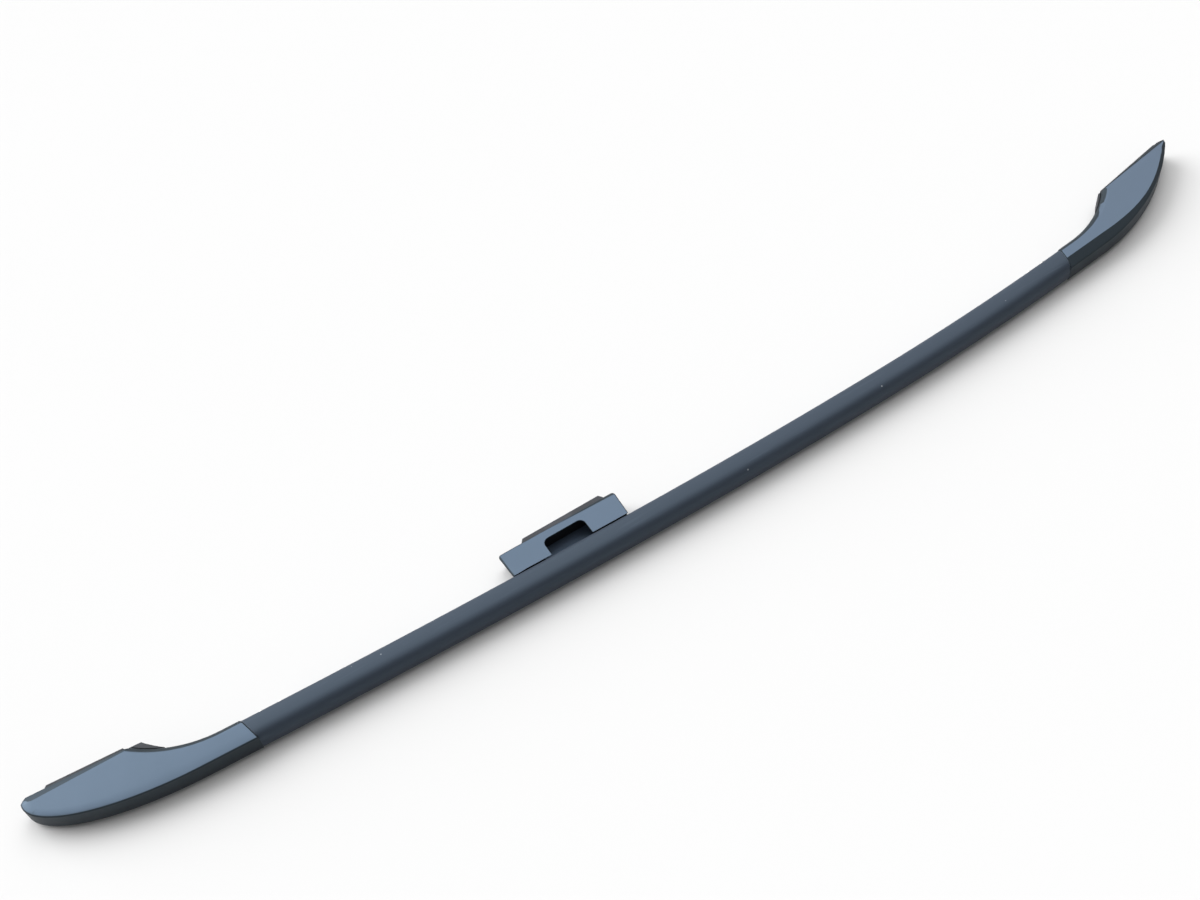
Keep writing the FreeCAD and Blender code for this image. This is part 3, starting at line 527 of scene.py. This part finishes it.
class RailFinishes(bpy.types.PropertyGroup):
    """Colours and textures of the rail's pieces."""

    coat_color: bpy.props.FloatVectorProperty(
        name="Tube coat", description="Colour of the tube's powder coat",
        default=(0.030, 0.037, 0.052), subtype="COLOR", min=0.0, max=1.0)
    coat_roughness: bpy.props.FloatProperty(
        name="Coat roughness", description="Roughness of the powder coat",
        default=0.6, subtype="FACTOR", min=0.0, max=1.0)
    coat_gloss: bpy.props.FloatProperty(
        name="Coat gloss", description="Specular level of the powder coat",
        default=0.5, subtype="FACTOR", min=0.0, max=1.0)
    coat_peel: bpy.props.FloatProperty(
        name="Orange peel", description="Size of the lumps in the powder coat",
        default=0.6 * MILLIMETRE, unit="LENGTH")
    coat_rub: bpy.props.FloatProperty(
        name="Rubbed streaks", description="How far the streaks along the tube are rubbed paler",
        default=0.35, subtype="FACTOR", min=0.0, max=1.0)
    nick_spacing: bpy.props.FloatProperty(
        name="Nick spacing", description="Size of the cells that may hold a nick",
        default=35.0 * MILLIMETRE, unit="LENGTH")
    nick_share: bpy.props.FloatProperty(
        name="Nick share", description="Share of the cells that hold a nick",
        default=0.22, subtype="FACTOR", min=0.0, max=1.0)
    nick_radius: bpy.props.FloatProperty(
        name="Nick radius", description="Radius of a nick in the coat",
        default=1.4 * MILLIMETRE, unit="LENGTH")
    nick_bareness: bpy.props.FloatProperty(
        name="Nick bareness", description="How bare the metal is in a nick",
        default=0.75, subtype="FACTOR", min=0.0, max=1.0)
    # Bare metal and painted highlight at the tube's cut ends
    end_bareness_and_highlight: bpy.props.FloatProperty(
        name="End bareness", description="How bare the metal is at the tube's cut ends",
        default=0.8, subtype="FACTOR", min=0.0, max=1.0)
    tone_drift: bpy.props.FloatProperty(
        name="Tone drift", description="How far the tone of coat and covers drifts to either side",
        default=0.12, subtype="FACTOR", min=0.0, max=1.0)
    cover_color: bpy.props.FloatVectorProperty(
        name="Covers", description="Colour of the moulded covers",
        default=(0.066, 0.090, 0.132), subtype="COLOR", min=0.0, max=1.0)
    # Painted shade: the near-black colour that the covers' walls and slopes get, standing for the shade
    # they fall in
    cover_wall_shade_color: bpy.props.FloatVectorProperty(
        name="Cover sides", description="Colour of the covers' walls and slopes, darker than their faces",
        default=(0.008, 0.009, 0.010), subtype="COLOR", min=0.0, max=1.0)
    cover_roughness: bpy.props.FloatProperty(
        name="Cover roughness", description="Roughness of the moulded covers",
        default=0.36, subtype="FACTOR", min=0.0, max=1.0)
    cover_gloss: bpy.props.FloatProperty(
        name="Cover gloss", description="Specular level of the moulded covers",
        default=0.58, subtype="FACTOR", min=0.0, max=1.0)
    # Rubbed wear and painted highlight: how far the covers' edges are lightened
    cover_rub_and_highlight: bpy.props.FloatProperty(
        name="Rubbed edges", description="How far the covers' sharp edges are rubbed paler",
        default=0.25, subtype="FACTOR", min=0.0, max=1.0)
    cover_dust: bpy.props.FloatProperty(
        name="Dust", description="How pale the specks of dust on the covers are",
        default=0.3, subtype="FACTOR", min=0.0, max=1.0)
    wall_dullness: bpy.props.FloatProperty(
        name="Wall dullness", description="Roughness that the covers' walls have beyond their faces",
        default=0.2, subtype="FACTOR", min=0.0, max=1.0)
    cover_grain: bpy.props.FloatProperty(
        name="Cover grain", description="Size of the moulded grain",
        default=0.35 * MILLIMETRE, unit="LENGTH")
    # Painted reflection: a blue tint on the gloss, standing for the reflection of a blue sky under neutral
    # lamps
    sky_sheen_tint: bpy.props.FloatVectorProperty(
        name="Sheen", description="Tint of the gloss on coat and covers",
        default=(0.57, 0.80, 1.0), subtype="COLOR", min=0.0, max=1.0)
    # Bare nicks, dust and the painted highlight at the tube's ends share this colour
    bare_dust_and_highlight_color: bpy.props.FloatVectorProperty(
        name="Nicks", description="Colour of bare nicks and dust",
        default=(0.32, 0.34, 0.37), subtype="COLOR", min=0.0, max=1.0)
    rubber_color: bpy.props.FloatVectorProperty(
        name="Rubber", description="Colour of the gaskets and pads",
        default=(0.045, 0.048, 0.055), subtype="COLOR", min=0.0, max=1.0)
    rubber_roughness: bpy.props.FloatProperty(
        name="Rubber roughness", description="Roughness of the gaskets and pads",
        default=0.78, subtype="FACTOR", min=0.0, max=1.0)
    rubber_gloss: bpy.props.FloatProperty(
        name="Rubber gloss", description="Specular level of the gaskets and pads",
        default=0.3, subtype="FACTOR", min=0.0, max=1.0)
    rubber_bloom: bpy.props.FloatProperty(
        name="Rubber bloom", description="How far the rubber's dusty patches are paler",
        default=0.5, subtype="FACTOR", min=0.0, max=1.0)
    casting_color: bpy.props.FloatVectorProperty(
        name="Castings", description="Colour of the dip-coated brackets",
        default=(0.012, 0.012, 0.014), subtype="COLOR", min=0.0, max=1.0)
    casting_roughness: bpy.props.FloatProperty(
        name="Casting roughness", description="Roughness of the dip-coated brackets",
        default=0.55, subtype="FACTOR", min=0.0, max=1.0)
    casting_gloss: bpy.props.FloatProperty(
        name="Casting gloss", description="Specular level of the dip-coated brackets",
        default=0.35, subtype="FACTOR", min=0.0, max=1.0)
    zinc_color: bpy.props.FloatVectorProperty(
        name="Zinc", description="Colour of the plated screws and inserts",
        default=(0.62, 0.61, 0.58), subtype="COLOR", min=0.0, max=1.0)
    zinc_roughness: bpy.props.FloatProperty(
        name="Zinc roughness", description="Roughness of the brightest plating",
        default=0.3, subtype="FACTOR", min=0.0, max=1.0)


class RailForms(bpy.types.PropertyGroup):
    """How finely the tube is drawn and how the covers' edges, bevel and slopes are shaped."""

    ring_step: bpy.props.FloatProperty(
        name="Ring step", description="Distance between the tube's rings",
        default=8.0 * MILLIMETRE, unit="LENGTH")
    ring_points: bpy.props.IntProperty(
        name="Ring points", description="Points in each ring of the tube", default=64, min=16)
    section_power: bpy.props.FloatProperty(
        name="Section", description="How square the tube's section is; 2 is round", default=2.8, min=2.0)
    end_chamfer: bpy.props.FloatProperty(
        name="End chamfer", description="Chamfer on the tube's slanted ends",
        default=0.6 * MILLIMETRE, unit="LENGTH")
    slant_fade: bpy.props.FloatProperty(
        name="Slant fade", description="Length over which the rings turn to the slanted end",
        default=80.0 * MILLIMETRE, unit="LENGTH")
    cover_edge: bpy.props.FloatProperty(
        name="Cover edge", description="Rounding of the end covers' outer edges",
        default=1.6 * MILLIMETRE, unit="LENGTH")
    middle_edge: bpy.props.FloatProperty(
        name="Middle edge", description="Rounding of the middle cover's outer edges",
        default=0.7 * MILLIMETRE, unit="LENGTH")
    edge_segments: bpy.props.IntProperty(
        name="Edge steps", description="Steps in each rounded edge", default=4, min=1)
    edge_level: bpy.props.FloatProperty(
        name="Edge level", description="Height above which edges are rounded and walls folded",
        default=20.0 * MILLIMETRE, unit="LENGTH")
    sharp_angle: bpy.props.FloatProperty(
        name="Sharp edges", description="Edges that turn more than this are rounded",
        default=math.radians(40.0), subtype="ANGLE", unit="ROTATION")
    crease_angle: bpy.props.FloatProperty(
        name="Creases", description="Edges that turn more than this stay creased",
        default=math.radians(13.0), subtype="ANGLE", unit="ROTATION")
    middle_crease: bpy.props.FloatProperty(
        name="Middle creases", description="Middle cover's edges that turn more than this stay creased",
        default=math.radians(15.0), subtype="ANGLE", unit="ROTATION")
    flat_angle: bpy.props.FloatProperty(
        name="Flat faces", description="Facets that turn less than this are joined",
        default=math.radians(0.6), subtype="ANGLE", unit="ROTATION")
    bevel_drop: bpy.props.FloatProperty(
        name="Bevel drop", description="How far the rear cover's bevel falls below its face",
        default=6.0 * MILLIMETRE, unit="LENGTH")
    bevel_slack: bpy.props.FloatProperty(
        name="Bevel slack", description="How far the bevel's outer edge may stray from that level",
        default=1.2 * MILLIMETRE, unit="LENGTH")
    bevel_loss: bpy.props.FloatProperty(
        name="Bevel loss", description="Share of its width that the bevel loses at the nose",
        default=0.62, subtype="FACTOR", min=0.0, max=1.0)
    bevel_begin: bpy.props.FloatProperty(
        name="Bevel begin", description="Share of the rear cover's length where its bevel begins to narrow",
        default=0.2, subtype="FACTOR", min=0.0, max=1.0)
    bevel_end: bpy.props.FloatProperty(
        name="Bevel end", description="Share of the rear cover's length where its bevel is narrowest",
        default=0.72, subtype="FACTOR", min=0.0, max=1.0)
    rim_slope: bpy.props.FloatProperty(
        name="Rim slope", description="Slope of the middle cover's roof rim",
        default=math.radians(22.0), subtype="ANGLE", unit="ROTATION")
    rim_width: bpy.props.FloatProperty(
        name="Rim width", description="Width of the middle cover's roof rim at its rear end",
        default=7.0 * MILLIMETRE, unit="LENGTH")
    rim_front_width: bpy.props.FloatProperty(
        name="Rim front width", description="Width of the middle cover's roof rim at its front end",
        default=1.75 * MILLIMETRE, unit="LENGTH")
    end_slope: bpy.props.FloatProperty(
        name="End slope", description="Slope of the middle cover's front end",
        default=math.radians(24.0), subtype="ANGLE", unit="ROTATION")
    end_width: bpy.props.FloatProperty(
        name="End width", description="Width of the middle cover's sloped front end at the tube",
        default=7.0 * MILLIMETRE, unit="LENGTH")
    end_roof_width: bpy.props.FloatProperty(
        name="End roof width", description="Width of the middle cover's sloped front end at the roof",
        default=2.1 * MILLIMETRE, unit="LENGTH")


class RailStage(bpy.types.PropertyGroup):
    """Camera, floor and light."""

    camera_offset: bpy.props.FloatVectorProperty(
        name="Camera", description="Place of the camera from the tube's lowest corner",
        default=(0.0389, -0.9363, 1.6242), subtype="TRANSLATION", unit="LENGTH")
    camera_yaw: bpy.props.FloatProperty(
        name="Yaw", description="Turn of the camera from +Y towards +X",
        default=math.radians(24.692), subtype="ANGLE", unit="ROTATION")
    camera_pitch: bpy.props.FloatProperty(
        name="Pitch", description="How far the camera looks down",
        default=math.radians(53.562), subtype="ANGLE", unit="ROTATION")
    camera_roll: bpy.props.FloatProperty(
        name="Roll", description="Turn of the camera about its line of sight",
        default=math.radians(-9.026), subtype="ANGLE", unit="ROTATION")
    camera_focal: bpy.props.FloatProperty(
        name="Focal length", description="Focal length in pixels of the photograph",
        default=1605.2, subtype="PIXEL")
    floor_radius: bpy.props.FloatProperty(
        name="Floor", description="Radius of the floor", default=14.0, unit="LENGTH")
    floor_color: bpy.props.FloatVectorProperty(
        name="Floor colour", description="Colour of the floor",
        default=(0.665, 0.665, 0.665), subtype="COLOR", min=0.0, max=1.0)
    floor_drift: bpy.props.FloatProperty(
        name="Floor drift", description="Tone of the floor's darkest patches beside its palest",
        default=0.995, subtype="FACTOR", min=0.0, max=1.0)
    key_strength: bpy.props.FloatProperty(
        name="Key light", description="Strength of the soft key light", default=3.5)
    key_size: bpy.props.FloatProperty(
        name="Key size", description="How wide the key light looks from the part",
        default=math.radians(55.0), subtype="ANGLE", unit="ROTATION")
    key_towards: bpy.props.FloatVectorProperty(
        name="Key direction", description="Where the key light stands, seen from the part",
        default=(-0.50, 0.66, 0.48), subtype="DIRECTION")
    sky_towards: bpy.props.FloatVectorProperty(
        name="Sky direction", description="Where the sky is brightest, seen from the part",
        default=(0.22, 0.39, 0.89), subtype="DIRECTION")
    sky_low: bpy.props.FloatProperty(
        name="Dark sky", description="Strength of the sky away from its bright part", default=0.38)
    sky_high: bpy.props.FloatProperty(
        name="Bright sky", description="Strength of the sky's broad bright part", default=3.7)
    sky_edge: bpy.props.FloatProperty(
        name="Sky edge", description="Cosine of the angle from its middle at which the bright part ends",
        default=0.71, min=-1.0, max=1.0)


class ROOFRAIL_OT_coat_tube(bpy.types.Operator):
    """Draws the bent tube smoothly and gives it its powder coat"""
    bl_idname = "roofrail.coat_tube"
    bl_label = "Coat Tube"

    def execute(self, context):
        forms = context.scene.rail_forms
        material = coated_aluminium(context.scene.rail_finishes)
        stand_for("rail_tube", tube_mesh(forms), material, forms.crease_angle)
        return {"FINISHED"}


class ROOFRAIL_OT_finish_covers(bpy.types.Operator):
    """Shapes the edges of the three foot covers and gives them their satin plastic"""
    bl_idname = "roofrail.finish_covers"
    bl_label = "Finish Covers"

    def execute(self, context):
        forms = context.scene.rail_forms
        material = satin_plastic(context.scene.rail_finishes)
        for name in END_COVERS:
            shape = welded_copy(name, forms.flat_angle)
            if name == REAR_COVER:
                narrow_bevel(shape, forms)
            rounded_edges(shape, forms.cover_edge, forms)
            stand_for(name, shape, material, forms.crease_angle)
        shape = welded_copy(MIDDLE_COVER, forms.flat_angle)
        self.fold_middle(shape, forms)
        rounded_edges(shape, forms.middle_edge, forms)
        stand_for(MIDDLE_COVER, shape, material, forms.middle_crease)
        return {"FINISHED"}

    def fold_middle(self, shape, forms):
        """Slopes the roof rim and the front end of the middle cover."""
        low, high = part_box(MIDDLE_COVER)
        rim_front = Vector((low.x, high.y - forms.rim_front_width, 0.0))
        rim_rear = Vector((high.x, high.y - forms.rim_width, 0.0))
        fold_down(shape, rim_front, rim_rear, math.tan(forms.rim_slope), forms.edge_level)
        end_tube = Vector((low.x + forms.end_width, low.y, 0.0))
        end_roof = Vector((low.x + forms.end_roof_width, high.y, 0.0))
        fold_down(shape, end_tube, end_roof, math.tan(forms.end_slope), forms.edge_level)


class ROOFRAIL_OT_finish_gaskets(bpy.types.Operator):
    """Gives the gaskets and saddle pads their rubber"""
    bl_idname = "roofrail.finish_gaskets"
    bl_label = "Finish Gaskets"

    def execute(self, context):
        dress(GASKETS, gasket_rubber(context.scene.rail_finishes))
        return {"FINISHED"}


class ROOFRAIL_OT_finish_castings(bpy.types.Operator):
    """Gives the die-cast brackets their black dip coat"""
    bl_idname = "roofrail.finish_castings"
    bl_label = "Finish Castings"

    def execute(self, context):
        dress(CASTINGS, coated_casting(context.scene.rail_finishes))
        return {"FINISHED"}


class ROOFRAIL_OT_finish_fasteners(bpy.types.Operator):
    """Gives the screws, inserts and rivet nuts their zinc plating"""
    bl_idname = "roofrail.finish_fasteners"
    bl_label = "Finish Fasteners"

    def execute(self, context):
        dress(FASTENERS, zinc_steel(context.scene.rail_finishes))
        return {"FINISHED"}


class ROOFRAIL_OT_set_stage(bpy.types.Operator):
    """Sets the floor, the soft light and the camera"""
    bl_idname = "roofrail.set_stage"
    bl_label = "Set Stage"

    def execute(self, context):
        stage = context.scene.rail_stage
        self.lay_floor(stage)
        self.hang_light(context, stage)
        self.light_sky(context, stage)
        self.aim_camera(context, stage)
        context.scene.view_settings.view_transform = "Standard"
        return {"FINISHED"}

    def lay_floor(self, stage):
        """Lays a plain pale floor under the rail."""
        bpy.ops.mesh.primitive_circle_add(
            vertices=FLOOR_CORNERS, radius=stage.floor_radius, fill_type="NGON")
        floor = bpy.context.object
        floor.name = "floor"
        material = bpy.data.materials.new("pale_floor")
        sheet = Sheet(material)
        patches = sheet.noise(sheet.place(), size=300.0 * MILLIMETRE)
        colour = sheet.mix(patches, dim(stage.floor_color, stage.floor_drift), stage.floor_color)
        sheet.surface(Base_Color=colour, Roughness=1.0, Specular_IOR_Level=0.0)
        floor.data.materials.append(material)

    def hang_light(self, context, stage):
        """Hangs a broad soft key light on the roof side."""
        lamp = bpy.data.lights.new("soft_key", "SUN")
        lamp.energy = stage.key_strength
        lamp.angle = stage.key_size
        key = bpy.data.objects.new("soft_key", lamp)
        key.rotation_mode = "QUATERNION"
        key.rotation_quaternion = Vector(stage.key_towards).to_track_quat("Z", "Y")
        context.collection.objects.link(key)

    def light_sky(self, context, stage):
        """Lights the rail by a dim sky with one broad bright part."""
        world = bpy.data.worlds.new("soft_sky")
        context.scene.world = world
        sheet = Sheet(world)
        towards = sheet.wire("ShaderNodeTexCoord", "Generated")
        lean = sheet.wire(
            "ShaderNodeVectorMath", "Value", {"operation": "DOT_PRODUCT"},
            {0: towards, 1: tuple(Vector(stage.sky_towards).normalized())})
        strength = stage.sky_low + (stage.sky_high - stage.sky_low) * lean.ramp(stage.sky_edge, 1.0)
        light = sheet.wire("ShaderNodeBackground", "Background", None, {"Strength": strength})
        sheet.node("ShaderNodeOutputWorld", None, {"Surface": light})

    def aim_camera(self, context, stage):
        """Puts the camera where the photograph was taken from."""
        level = math.cos(stage.camera_pitch)
        forward = Vector((
            math.sin(stage.camera_yaw) * level,
            math.cos(stage.camera_yaw) * level,
            -math.sin(stage.camera_pitch)))
        right = Vector((math.cos(stage.camera_yaw), -math.sin(stage.camera_yaw), 0.0))
        turn = Matrix.Rotation(-stage.camera_roll, 3, forward)
        right = turn @ right
        axes = Matrix((right, right.cross(forward), -forward)).transposed()
        eye = bpy.data.cameras.new("photo_camera")
        eye.sensor_width = SENSOR_WIDTH
        eye.lens = stage.camera_focal * SENSOR_WIDTH / PHOTO_WIDTH
        camera = bpy.data.objects.new("photo_camera", eye)
        camera.matrix_world = Matrix.Translation(tube_low + Vector(stage.camera_offset)) @ axes.to_4x4()
        context.collection.objects.link(camera)
        context.scene.camera = camera


class ROOFRAIL_PT_dresser(bpy.types.Panel):
    """Lists the steps that dress the rail"""
    bl_label = "Roof Rail"
    bl_idname = "ROOFRAIL_PT_dresser"
    bl_space_type = "VIEW_3D"
    bl_region_type = "UI"
    bl_category = "Roof Rail"

    def draw(self, context):
        for step in STEPS:
            self.layout.operator(step.bl_idname)
        for group in (context.scene.rail_forms, context.scene.rail_finishes, context.scene.rail_stage):
            for name in group.__annotations__:
                self.layout.prop(group, name)


STEPS = (
    ROOFRAIL_OT_coat_tube,
    ROOFRAIL_OT_finish_covers,
    ROOFRAIL_OT_finish_gaskets,
    ROOFRAIL_OT_finish_castings,
    ROOFRAIL_OT_finish_fasteners,
    ROOFRAIL_OT_set_stage,
)
CLASSES = (RailForms, RailFinishes, RailStage, *STEPS, ROOFRAIL_PT_dresser)


def register():
    """Registers the classes and their settings on the scene."""
    for made in CLASSES:
        bpy.utils.register_class(made)
    bpy.types.Scene.rail_forms = bpy.props.PointerProperty(type=RailForms)
    bpy.types.Scene.rail_finishes = bpy.props.PointerProperty(type=RailFinishes)
    bpy.types.Scene.rail_stage = bpy.props.PointerProperty(type=RailStage)


def unregister():
    """Removes the settings and the classes again."""
    del bpy.types.Scene.rail_stage
    del bpy.types.Scene.rail_finishes
    del bpy.types.Scene.rail_forms
    for made in reversed(CLASSES):
        bpy.utils.unregister_class(made)


def main():
    """Dresses the rail step by step."""
    register()
    bpy.ops.roofrail.coat_tube()
    bpy.ops.roofrail.finish_covers()
    bpy.ops.roofrail.finish_gaskets()
    bpy.ops.roofrail.finish_castings()
    bpy.ops.roofrail.finish_fasteners()
    bpy.ops.roofrail.set_stage()


if __name__ == "__main__":
    main()
